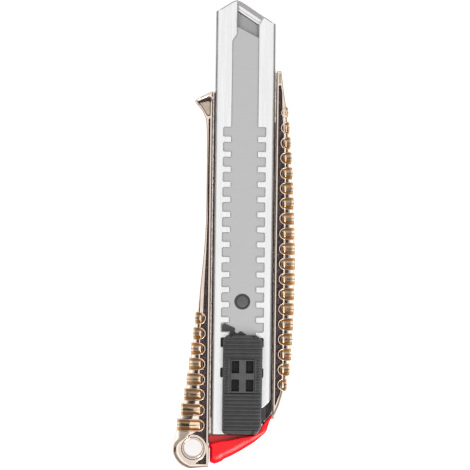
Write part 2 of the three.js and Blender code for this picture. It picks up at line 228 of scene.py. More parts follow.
class Shape:
    """Vertices in the knife's millimetres and faces, each with a material index."""

    def __init__(self):
        self.points, self.faces, self.looks = [], [], []

    def ring(self, outline, z):
        first = len(self.points)
        z = np.broadcast_to(z, len(outline))
        self.points += [(p[0], p[1], h) for p, h in zip(outline, z)]
        return range(first, len(self.points))

    def band(self, a, b, look=0, closed=True):
        """Quads between two rows of equal length."""
        count = len(a)
        for i in range(count if closed else count - 1):
            j = (i + 1) % count
            self.faces.append((a[i], a[j], b[j], b[i]))
            self.looks.append(look)

    def face(self, corners, look=0):
        self.faces.append(tuple(corners))
        self.looks.append(look)

    def cap(self, rings, up, look=0):
        """A flat face inside the first ring and outside the others."""
        loops = [[Vector(self.points[i]) for i in ring] for ring in rings]
        index = [i for ring in rings for i in ring]
        for tri in tessellate_polygon(loops):
            a, b, c = (np.array(self.points[index[k]]) for k in tri)
            corners = [index[k] for k in tri]
            facing_up = np.cross(b - a, c - a)[2] > 0
            self.face(corners if facing_up == up else corners[::-1], look)

    def add(self, other, look=None):
        shift = len(self.points)
        self.points += other.points
        self.faces += [tuple(i + shift for i in f) for f in other.faces]
        self.looks += other.looks if look is None else [look] * len(other.looks)
        return self

    def piece(self, name, body, slot, nodes, looks):
        """The shape as a Blender object that rides on a body and stands for CAD nodes."""
        mesh = bpy.data.meshes.new(name)
        scaled = [tuple((np.array(p) + ORIGIN) * MM) for p in self.points]
        mesh.from_pydata(scaled, [], self.faces)
        for look in looks:
            mesh.materials.append(look)
        mesh.polygons.foreach_set("material_index", self.looks)
        mesh.validate()
        bm = bmesh.new()
        bm.from_mesh(mesh)
        bmesh.ops.remove_doubles(bm, verts=bm.verts, dist=2e-7)
        bmesh.ops.dissolve_degenerate(bm, edges=bm.edges, dist=1e-7)
        bmesh.ops.recalc_face_normals(bm, faces=bm.faces)
        for f in bm.faces:
            f.smooth = True
        bm.to_mesh(mesh)
        bm.free()
        mesh.set_sharp_from_angle(angle=math.radians(42))
        piece = bpy.data.objects.new(name, mesh)
        bpy.context.scene.collection.objects.link(piece)
        weighted = piece.modifiers.new("even_normals", "WEIGHTED_NORMAL")
        weighted.keep_sharp = True
        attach(piece, body)
        if nodes:
            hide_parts(*nodes)
        return piece


def superellipse_drop(across, power):
    """How far a rounded edge has dropped, from 0 to 1, at a distance from 0 to 1 across it."""
    return 1 - max(0, 1 - across**power) ** (1 / power)


ROUND_STEPS = 4
SUPPORT = 0.04


def plate(outline, bottom, top, edge=(0.2, 0.2), foot=(0.1, 0.1), holes=(), look=0, power=2, steps=4):
    """A solid on a closed outline with rounded top and bottom edges.

    edge and foot are (width, height), each a number or one for every outline point. The top edge is
    a superellipse of the given power: 2 is round, and less is closer to a chamfer. A hole is
    (outline, floor z or None when it goes through, (width, height) of its lip, look of its floor).
    """
    shape = Shape()
    outline = anticlockwise(np.array(outline, float))
    widths = [np.broadcast_to(np.array(v, float), len(outline)) for v in (*foot, *edge)]
    foot_w, foot_h, edge_w, edge_h = widths

    def at(width, z):
        return shape.ring(offset(outline, width), z)

    rings = [at(foot_w + SUPPORT, bottom)]
    for k in range(ROUND_STEPS + 1):
        angle = math.pi / 2 * k / ROUND_STEPS
        rings.append(at(foot_w * (1 - math.sin(angle)), bottom + foot_h * (1 - math.cos(angle))))
    for k in range(steps + 1):
        across = math.sin(math.pi / 2 * (1 - k / steps)) ** (2 / power)
        rings.append(at(edge_w * (1 - across), top - edge_h * superellipse_drop(across, power)))
    rings.append(at(edge_w + SUPPORT, top))
    for a, b in zip(rings, rings[1:]):
        shape.band(a, b, look)
    top_rings, bottom_rings = [rings[-1]], [rings[0]]
    for hole, floor, (lip_w, lip_h), floor_look in holes:
        hole = anticlockwise(np.array(hole, float))
        lip_w = np.broadcast_to(np.array(lip_w, float), len(hole))
        lips = [shape.ring(offset(hole, -lip_w - SUPPORT), top)]
        for k in range(ROUND_STEPS + 1):
            angle = math.pi / 2 * k / ROUND_STEPS
            rim = offset(hole, -lip_w * (1 - math.sin(angle)))
            lips.append(shape.ring(rim, top - lip_h * (1 - math.cos(angle))))
        lips.append(shape.ring(hole, bottom if floor is None else floor))
        for a, b in zip(lips, lips[1:]):
            shape.band(b, a, look)
        top_rings.append(lips[0])
        if floor is None:
            bottom_rings.append(lips[-1])
        else:
            shape.cap([lips[-1]], True, floor_look)
    shape.cap(top_rings, True, look)
    shape.cap(bottom_rings, False, look)
    return shape


def turned(profile, centre, steps=40, look=0):
    """A solid turned about a vertical axis, from (radius, z) pairs; a closed profile makes a ring."""
    shape = Shape()
    ring_like = profile[0][0] > 0
    angles = np.linspace(0, 2 * math.pi, steps, endpoint=False)
    circle = np.stack([np.cos(angles), np.sin(angles)], axis=1)
    rows = [shape.ring(np.array(centre) + circle * max(r, 1e-4), z) for r, z in profile]
    for a, b in zip(rows, rows[1:]):
        shape.band(a, b, look)
    if ring_like:
        shape.band(rows[-1], rows[0], look)
    else:
        shape.face(list(rows[0])[::-1], look)
        shape.face(rows[-1], look)
    return shape


def loft(rows, look=0):
    """A closed skin over rows of points, each row a closed section, with flat ends."""
    shape = Shape()
    index = []
    for row in rows:
        first = len(shape.points)
        shape.points += [tuple(p) for p in row]
        index.append(range(first, len(shape.points)))
    for a, b in zip(index, index[1:]):
        shape.band(a, b, look)
    shape.face(list(index[0])[::-1], look)
    shape.face(index[-1], look)
    return shape


# ---- materials ------------------------------------------------------------------------------


class Look:
    """A Principled material with helpers for procedural detail. Scales are per metre."""

    def __init__(self, name, color, roughness, metallic=0.0, **sockets):
        self.material = bpy.data.materials.new(name)
        self.material.use_nodes = True
        self.nodes = self.material.node_tree.nodes
        self.links = self.material.node_tree.links
        self.shader = self.nodes["Principled BSDF"]
        self.color = color
        self.shader.inputs["Base Color"].default_value = (*color, 1)
        self.shader.inputs["Roughness"].default_value = roughness
        self.shader.inputs["Metallic"].default_value = metallic
        for socket, value in sockets.items():
            self.shader.inputs[socket.replace("_", " ")].default_value = value
        coordinates = self.nodes.new("ShaderNodeTexCoord")
        self.place = coordinates.outputs["Object"]
        self.height = None

    def noise(self, scale, stretch=(1, 1, 1), detail=3.0, rough=0.55):
        mapping = self.nodes.new("ShaderNodeMapping")
        mapping.inputs["Scale"].default_value = stretch
        self.links.new(self.place, mapping.inputs["Vector"])
        noise = self.nodes.new("ShaderNodeTexNoise")
        noise.inputs["Scale"].default_value = scale
        noise.inputs["Detail"].default_value = detail
        noise.inputs["Roughness"].default_value = rough
        self.links.new(mapping.outputs["Vector"], noise.inputs["Vector"])
        return noise.outputs["Fac"]

    def ramp(self, factor, stops):
        ramp = self.nodes.new("ShaderNodeValToRGB")
        elements = ramp.color_ramp.elements
        while len(elements) < len(stops):
            elements.new(0.5)
        for element, (position, color) in zip(elements, stops):
            element.position = position
            element.color = (*color, 1) if isinstance(color, tuple) else (color,) * 3 + (1,)
        self.links.new(factor, ramp.inputs["Fac"])
        return ramp.outputs["Color"]

    def tint(self, factor, low, high, near=0.35, far=0.65):
        """Base colour that drifts between two multiples of itself."""
        dark = tuple(c * low for c in self.color)
        light = tuple(min(1.0, c * high) for c in self.color)
        color = self.ramp(factor, [(near, dark), (far, light)])
        self.links.new(color, self.shader.inputs["Base Color"])
        return self

    def polish(self, factor, low, high, near=0.35, far=0.65):
        """Roughness that drifts between two values."""
        self.links.new(self.ramp(factor, [(near, low), (far, high)]), self.shader.inputs["Roughness"])
        return self

    def bump(self, factor, distance, strength=1.0):
        node = self.nodes.new("ShaderNodeBump")
        node.inputs["Distance"].default_value = distance
        node.inputs["Strength"].default_value = strength
        self.links.new(factor, node.inputs["Height"])
        if self.height is not None:
            self.links.new(self.height, node.inputs["Normal"])
        self.height = node.outputs["Normal"]
        self.links.new(self.height, self.shader.inputs["Normal"])
        return self


METAL_EDGE = (0.35, 0.33, 0.32, 1)  # how much the metals still reflect at a grazing angle


def plating_look():
    look = Look("rose_plating", (0.93, 0.80, 0.71), 0.12, 1.0, Specular_Tint=METAL_EDGE)
    look.tint(look.noise(260), 0.93, 1.04)
    look.polish(look.noise(900), 0.07, 0.17)
    return look.bump(look.noise(700, detail=2), 0.00004).material


# Plating in a given colour: the tongues' own gold, and also the painted shade and reflections on them.
def plating_and_painted_light_look(name, color):
    look = Look(name, color, 0.12, 1.0, Specular_Tint=METAL_EDGE)
    look.tint(look.noise(300), 0.85, 1.08)
    look.polish(look.noise(1100), 0.07, 0.18)
    return look.bump(look.noise(900, detail=2), 0.00004).material


def bed_look():
    look = Look("textured_bed", (0.040, 0.027, 0.027), 0.5, 0.2, Specular_IOR_Level=0.3)
    grain = look.noise(2600, detail=3)
    look.links.new(
        look.ramp(grain, [(0.44, (0.014, 0.008, 0.009)), (0.70, (0.16, 0.11, 0.11))]),
        look.shader.inputs["Base Color"],
    )
    look.polish(look.noise(2600), 0.35, 0.6)
    return look.bump(look.noise(5200, detail=2), 0.00008).material


def pocket_look():
    look = Look("pocket_floor", (0.50, 0.42, 0.34), 0.35, 1.0)
    look.tint(look.noise(1500), 0.85, 1.1)
    return look.bump(look.noise(3800, detail=2), 0.00006).material


def brushed_look(name, color, along, low, high, depth=0.00003, drift=0.06):
    """Steel brushed along an axis: along is the stretch of the grain in X, Y and Z."""
    look = Look(name, color, (low + high) / 2, 1.0, Specular_Tint=METAL_EDGE)
    grain = look.noise(9000, along, detail=4, rough=0.7)
    look.tint(look.noise(2500, along, detail=5, rough=0.7), 1 - drift, 1 + drift)
    look.polish(grain, low, high)
    return look.bump(grain, depth).material


def plastic_look(name, color, low, high, grain=4200, depth=0.00003, **sockets):
    look = Look(name, color, low, 0.0, **sockets)
    look.tint(look.noise(400), 0.9, 1.12)
    look.polish(look.noise(1500), low, high)
    return look.bump(look.noise(grain, detail=2), depth).material


PLATING = plating_look()
GOLD = plating_and_painted_light_look("gold_plating", (0.94, 0.78, 0.63))
# Painted shade and inter-reflection: the orange-brown of the tongues' flanks, which are gold plating like
# their rims.
AMBER_PAINTED_SHADE = plating_and_painted_light_look("amber_flanks_painted_shade", (0.58, 0.29, 0.11))
# Painted shade in the hollows inside the tongues' round ends, and a painted dark reflection streak along
# their crests.
HOLLOW_PAINTED_SHADE = plating_and_painted_light_look("tongue_hollows_painted_shade", (0.20, 0.14, 0.11))
# Painted reflection: the tan colour of the tongues' ribs, which are gold plating like their rims.
TAN_PAINTED_REFLECTION = plating_and_painted_light_look("tan_ribs_painted_reflection", (0.90, 0.71, 0.52))
BED = bed_look()
POCKET = pocket_look()
CHANNEL_STEEL = brushed_look("channel_steel", (0.83, 0.84, 0.855), (1, 0.015, 1), 0.24, 0.36)
BLADE_STEEL = brushed_look("blade_steel", (0.51, 0.515, 0.52), (0.02, 1, 1), 0.34, 0.40, 0.000012, 0.02)
# The back plate is the same folded sheet as the lips; its darker colour is painted shade, for the plate
# lying under the lips and the blade.
PLATE_STEEL_PAINTED_SHADE = brushed_look("plate_steel_painted_shade", (0.38, 0.38, 0.385), (1, 0.015, 1), 0.4, 0.5)
# The bends and walls are the same sheet too; their darker colour is painted shade on the bends.
BEND_STEEL_PAINTED_SHADE = brushed_look("bend_steel_painted_shade", (0.50, 0.49, 0.50), (1, 0.015, 1), 0.2, 0.3)
SPRING_STEEL = brushed_look("spring_steel", (0.55, 0.56, 0.57), (1, 0.1, 1), 0.2, 0.35)
BLACK = plastic_look("black_plastic", (0.040, 0.040, 0.041), 0.42, 0.6)
BUTTON_BLACK = plastic_look("button_plastic", (0.045, 0.045, 0.047), 0.36, 0.5)
FRAME_BLACK = plastic_look("window_frame_face", (0.058, 0.058, 0.060), 0.45, 0.6)
STUD_GREY = plastic_look("stud_face", (0.075, 0.075, 0.077), 0.4, 0.55)
# Painted shade: near-black for the floors and ribs of the button's window pockets, darker than the frame's
# own black plastic.
PIT_PAINTED_SHADE = plastic_look("pocket_painted_shade", (0.006, 0.006, 0.006), 0.6, 0.8)
RED = plastic_look("red_plastic", (0.80, 0.004, 0.010), 0.2, 0.26, grain=900, depth=0.000004,
                   Specular_IOR_Level=0.38)
# The shelf is the same red plastic as the cap; its darker red is painted shade on the low shelf under the
# channel's end.
RED_SHELF_PAINTED_SHADE = plastic_look("red_shelf_painted_shade", (0.46, 0.003, 0.010), 0.3, 0.4)

# ---- handle casting -------------------------------------------------------------------------

RIGHT_EDGE = [(10.95, 5), (13.0, 9.5), (14.4, 14.5), (15.9, 22), (16.8, 33), (17.4, 55),
              (16.95, 72), (16.1, 88.5), (15.05, 102), (14.2, 110), (13.3, 116), (12.4, 122.6)]
LEFT_EDGE = [(-13.35, 107), (-12.95, 102), (-12.8, 88), (-12.95, 70), (-13.85, 57),
             (-15.2, 43), (-16.8, 30), (-19.5, 11), (-21.95, 1), (-23.05, -4)]


EYE_TOP = -2.0  # Y above which the left wing's shoulder widens from the band round the eye


def shoulder_width(x, y):
    """How wide the rounded shoulder is at a point of the wings' outer edge."""
    if TROUGH_LEFT - 0.1 < x < TROUGH_RIGHT + 0.1:
        return 0.24
    if x > 0 and y < 16:
        return 1.3
    if x > 0:
        return min(3.8, max(0.45, 1.05 * (x - 13.85)))
    if y > 60:
        return 0.45
    if y > EYE_TOP:
        return min(7.0, 1.9 + 1.3 * (y - EYE_TOP), max(0.45, -x - 14.2))
    return float(np.interp(x, [-22, -19, -13], [1.9, 1.7, 0.6]))


def wing(outline, holes):
    widths = np.array([shoulder_width(x, y) for x, y in outline])
    for _ in range(6):
        widths = (np.roll(widths, 1) + widths + np.roll(widths, -1)) / 3
    inner = np.array([TROUGH_LEFT - 0.1 < x < TROUGH_RIGHT + 0.1 for x, _ in outline])
    widths[inner] = 0.24
    foot = np.where(inner, 0.02, 1.3)
    for _ in range(3):
        foot = (np.roll(foot, 1) + foot + np.roll(foot, -1)) / 3
    round_eye = [x < 0 and y < EYE_TOP for x, y in outline]
    steepness = np.where(round_eye, 0.55, 0.95)
    for _ in range(4):
        steepness = (np.roll(steepness, 1) + steepness + np.roll(steepness, -1)) / 3
    heights = np.minimum(widths * steepness, 3.5)
    return plate(outline, 0, RIM_Z, edge=(widths, heights), foot=(foot, foot), holes=holes,
                 power=1.5, steps=10)


def right_wing():
    outline = rounded(
        spline(RIGHT_EDGE)
        + [(12.25, 123.5, 0.35), (TROUGH_RIGHT, 123.4, 0.25), (TROUGH_RIGHT, 5.2, 0.05)]
    )
    bed = rounded(
        [(11.38, 9.6, 0.1), (13.0, 14.3, 0.4)]
        + [(13.55, 19.5), (13.7, 30), (13.8, 60), (13.65, 90), (13.2, 103)]
        + [(12.75, 108), (12.6, 112), (12.5, 116), (12.1, 118.4, 0.3), (11.38, 118.6, 0.2)]
    )
    tip_bed = rounded([(11.5, 119.2, 0.15), (12.05, 119.2, 0.15), (11.85, 122.3, 0.2), (11.5, 122.3, 0.15)])
    lip = (0.13, 0.13)
    return wing(outline, [(bed, BED_Z, lip, 1), (tip_bed, RIM_Z - 0.4, lip, 2)])


def left_wing():
    outline = rounded(
        spline(LEFT_EDGE)
        + arc(EYE, 7, 190, 262, 18)
        + [(-10.95, -11.15, 0.25), (-10.75, -5.2, 0.3), (TROUGH_LEFT, -4.3, 0.3)]
        + [(TROUGH_LEFT, 116.4, 0.25), (-14.65, 114.6, 2.0), (-17.15, 112.9, 0.35)]
        + spline([(-16.7, 112.1), (-14.85, 110), (-13.9, 108.2)])
    )
    bed = rounded(
        [(-11.72, -10.2, 0.15), (-11.72, 107.2, 0.2), (-12.2, 106.9, 0.15)]
        + [(-12.2, 72), (-12.5, 62), (-13.05, 50), (-13.3, 41), (-14.1, 36), (-14.2, 20)]
        + [(-14.2, 3.2, 0.5), (-14.7, 1.3, 0.4), (-16.6, -0.1, 0.3)]
        + arc(EYE, 4.7, 106, -72, 22)
        + [(-15.3, -10.15, 0.3)]
    )
    guard = anticlockwise(rounded(
        [(-11.75, 107.8, 0.3), (-11.75, 114.1, 0.3), (-12.6, 114.0, 0.4), (-16.0, 112.75, 0.3)]
        + [(-14.3, 110.5, 0.6), (-12.75, 107.9, 0.4)]
    ))
    guard_lip = np.where(guard[:, 1] > 112.4, 0.85, 0.18)
    lip = (0.13, 0.13)
    eye = arc(EYE, 4.0, 0, 360 - 11.25, 31)
    # The guard pocket's floor takes the dark bed look as painted shade; guard_pad covers all of it but a
    # strip under the top wall.
    return wing(
        outline,
        [(bed, BED_Z, lip, 1), (guard, BED_Z - 0.4, (guard_lip, 0.5), 1), (eye, None, (0.02, 0.02), 0)],
    )


def guard_pad():
    """The pale pad that gives the floor of the finger guard's pocket its own colour; the dark bed floor left
    bare round it, widest under the top wall, is painted shade.
    """
    pad = rounded([(-11.8, 107.95, 0.2), (-11.8, 112.6, 0.2), (-12.4, 112.9, 0.2), (-15.5, 112.2, 0.2),
                   (-14.25, 110.5, 0.6), (-12.75, 108.0, 0.4)])
    return plate(pad, BED_Z - 0.6, BED_Z - 0.12, edge=(0.15, 0.15), look=2)


def eye_ring():
    """The eyelet: a turned ring with a stepped face, set in the left wing."""
    profile = [(EYE_HOLE, 0.4), (EYE_HOLE + 0.15, 0.1), (EYE_HOLE + 0.8, 0), (EYE_HOLE + 0.8, 10)]
    profile += [(4.58, BED_Z - 0.3)]
    for middle, radius, top in ((4.22, 0.36, RIM_Z - 0.02), (3.46, 0.32, RIM_Z - 0.3)):
        profile += [(x, z) for x, z in arc((middle, top - radius), radius, -20, 200, 9)]
    profile += [(EYE_HOLE, RIM_Z - 0.8)]
    return turned(profile, EYE, steps=64)


def trough_floor():
    """The floor under the channel, with its slanted front and tail ends, and the posts for the rivets."""
    shape = plate(
        rounded([(TROUGH_LEFT - 0.2, -3.5), (TROUGH_RIGHT + 0.2, 4.7), (TROUGH_RIGHT + 0.2, 123.2, 0.1),
                 (TROUGH_LEFT - 0.2, 116.2, 0.1)]),
        0.01, FLOOR_TOP, edge=(0.3, 0.3), foot=(0.01, 0.01),
    )
    post = rounded([(-5.2, 114.7, 0.4), (9.6, 106.8, 0.4), (9.6, 122, 0.4), (-5.2, 117.2, 0.4)])
    shape.add(plate(post, FLOOR_TOP - 0.5, PLATE_BOTTOM - 0.3))
    return shape.add(turned([(0, 1.5), (2.1, 1.5), (2.1, 8.4), (1.9, 8.6), (0, 8.6)], (-7.2, 3)))


TONGUE_HALF = 2.08
TONGUE_FOOT = 4.6
TONGUE_DROP = 0.62
TONGUE_FALL = 2.6
TONGUE_POWER = 1.25
BURIED = 0.9
RAISED = 0.12
BORDER = 0.2
BORDER_WIDTH = 0.36
VALLEY = 0.28
CROWN = 0.48
HOLLOW_END = 1.2
WIDEST_SLOPE = 9.0
LOWEST_SLOPE = 4.3  # the tongue next to the eye follows the narrower shoulder there
RIM_END = 2.3
# STREAK_START and STREAK_DEPTH place the painted dark reflection streak along a tongue's crest.
STREAK_START = 2.6
STREAK_DEPTH = 1.9


def tongue_path(inner, edge, shoulder, widest):
    """Even points (distance out, height) from the inner end over the sloping side to the foot."""
    width = min(widest, max(shoulder, edge - inner - 1.75, 1.0))
    height = min(TONGUE_DROP * width, TONGUE_FALL)
    path = [(inner, 0)]
    for k in range(15):
        across = math.sin(math.pi / 2 * k / 14) ** (2 / TONGUE_POWER)
        drop = height * superellipse_drop(across, TONGUE_POWER)
        path.append((edge - width * (1 - across), -drop))
    path.append((edge, TONGUE_FOOT - RIM_Z))
    path = np.array(path) + (0, RIM_Z)
    along = np.concatenate([[0], np.cumsum(np.linalg.norm(np.diff(path, axis=0), axis=1))])
    even = np.linspace(0, along[-1], 80)
    path = np.stack([np.interp(even, along, path[:, k]) for k in (0, 1)], axis=1)
    for _ in range(3):
        path[1:-1] = (path[:-2] + path[1:-1] + path[2:]) / 3
    return even, path


def tongue_lift(s, depth):
    """Height of a tongue's face: a raised border, a valley inside its round end, then a round rib."""
    if depth < BORDER_WIDTH:
        near = min(1, depth / 0.09, (BORDER_WIDTH - depth) / 0.09)
        return BORDER * math.sin(math.pi / 2 * near)
    valley = -VALLEY * np.clip((s - BORDER_WIDTH) / 0.5, 0, 1)
    t = (depth - BORDER_WIDTH) / (TONGUE_HALF - BORDER_WIDTH)
    rib = CROWN * (1 - (1 - t) ** 2) * (1 - 0.5 * np.clip((s - 4) / 2, 0, 1)) - 0.06
    share = np.clip((s - HOLLOW_END + 0.1) / 0.5, 0, 1)
    share = share * share * (3 - 2 * share)
    return valley * (1 - share) + rib * share


def tongue_zone(s, depth, across, left):
    """The material of a spot on a tongue: 0 its gold rim; the rest is painted light: 1 amber flank, painted
    shade; 2 painted shade in the hollow and a painted dark reflection streak on the crest; 3 tan rib,
    painted reflection.

    s runs along the tongue from its round end, and left is how much of the tongue remains.
    """
    if depth < BORDER_WIDTH - 0.01:
        return 0 if s < RIM_END else 3
    if s < HOLLOW_END:
        return 2
    if depth > STREAK_DEPTH and s > STREAK_START and left > TONGUE_HALF:
        return 2
    # the painted amber shade reaches further in on the -Y side than on the +Y side
    flank = 1.3 if across < 0 else 0.95
    return 1 if depth < flank else 3


def tongue(side, y, inner, edge, shoulder, widest=WIDEST_SLOPE):
    """One grip tongue: level with the rim, it runs out over the shoulder and down the side."""
    even, path = tongue_path(inner, edge, shoulder, widest)
    total = even[-1]
    heading = np.gradient(path, even, axis=0)
    heading /= np.linalg.norm(heading, axis=1)[:, None]
    normal = np.stack([-heading[:, 1], heading[:, 0]], axis=1)

    def spot(s, across, lift):
        x, z = (np.interp(s, even, path[:, k]) for k in (0, 1))
        nx, nz = (np.interp(s, even, normal[:, k]) for k in (0, 1))
        lift += RAISED
        return (side * (x + nx * lift), y + across, z + nz * lift)

    straight = np.linspace(TONGUE_HALF, total - TONGUE_HALF, 26)[1:-1]
    depths = [0, 0, 0.03, 0.06, 0.1, 0.26, 0.3, 0.33, BORDER_WIDTH, 0.45, 0.6, 0.75, 0.9, 1.05, 1.2, 1.35]
    depths += [1.5, 1.65, 1.8, 1.94, TONGUE_HALF - 0.02]
    shape = Shape()
    rows, zones = [], []
    for row, depth in enumerate(depths):
        radius = TONGUE_HALF - depth
        plan = []
        for middle, first in ((total - TONGUE_HALF, -90), (TONGUE_HALF, 90)):
            plan += arc((middle, 0), radius, first, first + 180, 18)
            plan += [(s, radius) for s in straight[::-1]] if first < 0 else [(s, -radius) for s in straight]
        rows.append(range(len(shape.points), len(shape.points) + len(plan)))
        shape.points += [spot(s, v, tongue_lift(s, depth) if row else -BURIED) for s, v in plan]
        zones.append([tongue_zone(s, depth, v, total - s) for s, v in plan])
    for a, b, zone in zip(rows, rows[1:], zones):
        shape.band(a, b)
        shape.looks[-len(zone):] = zone
    shape.face(rows[-1])
    shape.face(list(rows[0])[::-1])
    return shape


def edge_at(edge, y):
    """X of a wing's outer edge at a height along the knife."""
    points = np.array(spline(edge))
    order = np.argsort(points[:, 1])
    return float(np.interp(y, points[order, 1], points[order, 0]))


def grip_tongues():
    shape = Shape()
    for i in range(19):
        y = 17 + 5.12 * i
        edge = edge_at(RIGHT_EDGE, y)
        inner = 12.1 + 0.012 * max(0, y - 92)
        shape.add(tongue(1, y, inner, edge, shoulder_width(edge, y)))
    for i in range(8):
        y = 2.9 + 5.19 * i
        edge = edge_at(LEFT_EDGE, y)
        widest = LOWEST_SLOPE if i == 0 else WIDEST_SLOPE
        shape.add(tongue(-1, y, 12.35, -edge, shoulder_width(edge, y), widest))
    return shape


def handle():
    """The casting, and its grip tongues as a piece of their own."""
    casting = left_wing().add(right_wing()).add(eye_ring()).add(guard_pad()).add(trough_floor())
    casting.piece("handle_casting", "handle", "plating", ["handle_body"], [PLATING, BED, POCKET])
    grip_tongues().piece("grip_tongues", "handle", "plating", ["handle_body"], [GOLD, AMBER_PAINTED_SHADE, HOLLOW_PAINTED_SHADE, TAN_PAINTED_REFLECTION])


# ---- blade channel --------------------------------------------------------------------------

NOTCH_HALF, NOTCH_LENGTH, NOTCH_PITCH = 7.15, 3.1, 5.1
NOTCH_TOPS = [22.5] + [32.7 + NOTCH_PITCH * i for i in range(15)]
WALL_X = 9.3  # where the flat of a lip meets the bend
NOSE_FROM = 139.3  # the slanted end of both lips lies past this Y

NOSE_SOFTNESS = 0.85
NOSE_BACK = 0.02  # keeps the peak inside the frame


def nose_y(x):
    """Y of the channel's slanted nose: a rounded peak left of the middle."""
    left = 143.25 + 0.63 * (x + CHANNEL_HALF)
    right = 139.1 + 0.664 * (CHANNEL_HALF - x)
    gap = abs(left - right) / NOSE_SOFTNESS
    return min(left, right) - NOSE_SOFTNESS * math.log1p(math.exp(-gap)) - NOSE_BACK


def tail_y(x):
    """Y of the channel's tail: square, with the right corner cut away on an arc."""
    if x < 3.9:
        return 0.0
    return float(np.interp(x, [3.9, 5.5, 7.05, 8.7, CHANNEL_HALF], [8.2, 8.3, 9.0, 10.3, 12.4]))


def lip(side):
    """One lip of the channel from the slot to the bend, with its lock notches."""
    x_wall = side * WALL_X
    inner = side * SLOT_HALF
    reach = side * NOTCH_HALF
    radius = 0.35
    start = tail_y(inner + side * 0.01)
    points = [(inner, start, 0.3)]
    for top in NOTCH_TOPS:
        bottom = top - NOTCH_LENGTH
        points += [(inner, bottom, radius), (reach, bottom, radius)]
        points += [(reach, top, radius), (inner, top, radius)]
    if side < 0:
        points += [(inner, 133.4, 1.0), (-2.95, 135.6, 1.0), (-2.65, 144.0), (-2.65, nose_y(-2.65), 1.1)]
        points += [(x, nose_y(x)) for x in np.linspace(-3.4, -8.6, 9)]
    else:
        points += [(inner, 139.2, 0.6), (6.0, nose_y(6.0), 0.5)]
        points += [(x, nose_y(x)) for x in np.linspace(6.6, 8.8, 4)]
    points += [(x_wall, nose_y(x_wall)), (x_wall, tail_y(x_wall))]
    if side > 0:
        points += [(x, tail_y(x)) for x in (8.7, 8.0, 7.3)]
    outline = anticlockwise(rounded(points, longest=6))
    seam = np.abs(outline[:, 0] - x_wall) < 0.02
    width = np.where(seam, 0.0, np.where(outline[:, 1] > NOSE_FROM, 0.45, 0.16))
    edge = (width, np.minimum(width, 0.05 + width * 0.5))
    return plate(outline, LIP_BOTTOM, LIP_TOP, edge=edge, foot=(width * 0.2, width * 0.2), power=1.1)


BEND_OUTER, BEND_INNER = 0.8, 0.03
END_SHRINK = np.array([0.05, 0, 0.01])  # how far a wall's end section closes in, to soften its edge


def side_wall(side):
    """The bend, wall and lower bend of one side, following the slanted nose and the cut tail."""
    outer, inner, half = BEND_OUTER, BEND_INNER, CHANNEL_HALF
    section = [(WALL_X, LIP_TOP)]
    section += arc((half - outer, LIP_TOP - outer), outer, 90, 0, 8)
    section += arc((half - outer, PLATE_BOTTOM + outer), outer, 0, -90, 8)
    section += [(WALL_X, PLATE_BOTTOM), (WALL_X, PLATE_TOP)]
    section += arc((half - SHEET - inner, PLATE_TOP + inner), inner, -90, 0, 3)
    section += arc((half - SHEET - inner, LIP_BOTTOM - inner), inner, 0, 90, 3)
    section += [(WALL_X, LIP_BOTTOM)]
    ends = [
        [(side * x, tail_y(side * x), z) for x, z in section],
        [(side * x, nose_y(side * x), z) for x, z in section],
    ]
    middle = np.array([side * (half - SHEET / 2), 0, (LIP_TOP + PLATE_BOTTOM) / 2])
    rows = []
    for t in (0, 0.0015, 0.33, 0.66, 0.9985, 1):
        shrink = END_SHRINK if t in (0, 1) else np.zeros(3)
        row = np.array(ends[0]) * (1 - t) + np.array(ends[1]) * t
        rows.append(row + (middle - row) * shrink)
    return loft(rows)


def back_plate():
    right, left = WALL_X, -WALL_X
    points = [(left, 0, 0.2), (3.9, 0, 0.6), (3.9, 8.2, 0.6)]
    points += [(x, tail_y(x)) for x in (5.5, 7.05, 8.0, 8.7)]
    points += [(right, tail_y(right)), (right, nose_y(right))]
    points += [(x, nose_y(x)) for x in np.linspace(8.5, -8.5, 30)]
    points += [(left, nose_y(left))]
    outline = anticlockwise(rounded(points, longest=8))
    seam = np.abs(np.abs(outline[:, 0]) - WALL_X) < 0.02
    width = np.where(seam, 0.0, 0.12)
    rivet_holes = [
        (arc((x, y), 1.95, 0, 345, 23), PLATE_BOTTOM + 0.1, (0.15, 0.15), 0)
        for x, y in ((-2, 115.8), (6, 115.8), (-7.2, 3))
    ]
    edge = (width, width)
    return plate(outline, PLATE_BOTTOM, PLATE_TOP, edge=edge, foot=edge, holes=rivet_holes)


def nose_beads():
    """The pressed nose of the plate: a rolled ramp, a flat crest and two beads, parallel to the nose."""
    profile = [(0.0, 9.3), (0.0, 9.9), (0.06, 10.0), (0.75, 10.4), (1.45, 10.8), (1.6, 10.87),
               (1.75, 10.89),
               (2.35, 10.89), (2.48, 10.84), (2.54, 10.7), (2.62, 10.7), (2.7, 10.83), (2.8, 10.87),
               (3.2, 10.87), (3.34, 10.8), (3.44, 10.6), (3.5, 10.3), (3.58, 9.84), (3.7, 9.78),
               (3.7, 9.3)]
    inwards = np.array([-0.527, -0.85])
    rows = []
    for x in np.linspace(-3.4, 8.2, 14):
        rows.append([(x + inwards[0] * d, nose_y(x) - 0.05 + inwards[1] * d, z) for d, z in profile])
    return loft(rows)


def channel():
    """The folded channel: two lips, two walls, the back plate and the beads on its nose."""
    # Look 2 on the walls is painted shade on the bends: a darker copy of the channel's steel.
    shape = lip(-1).add(lip(1)).add(side_wall(-1), look=2).add(side_wall(1), look=2)
    # Look 1 on the back plate is painted shade: a darker copy of the channel's steel.
    shape.add(back_plate(), look=1).add(nose_beads())
    looks = [CHANNEL_STEEL, PLATE_STEEL_PAINTED_SHADE, BEND_STEEL_PAINTED_SHADE]
    shape.piece("channel_body", "handle", "channel_steel", ["blade_channel"], looks)


# ---- blade ----------------------------------------------------------------------------------

SLANT = 0.515
SCORE_PITCH = 10.3
SCORE_DEPTH = 0.045


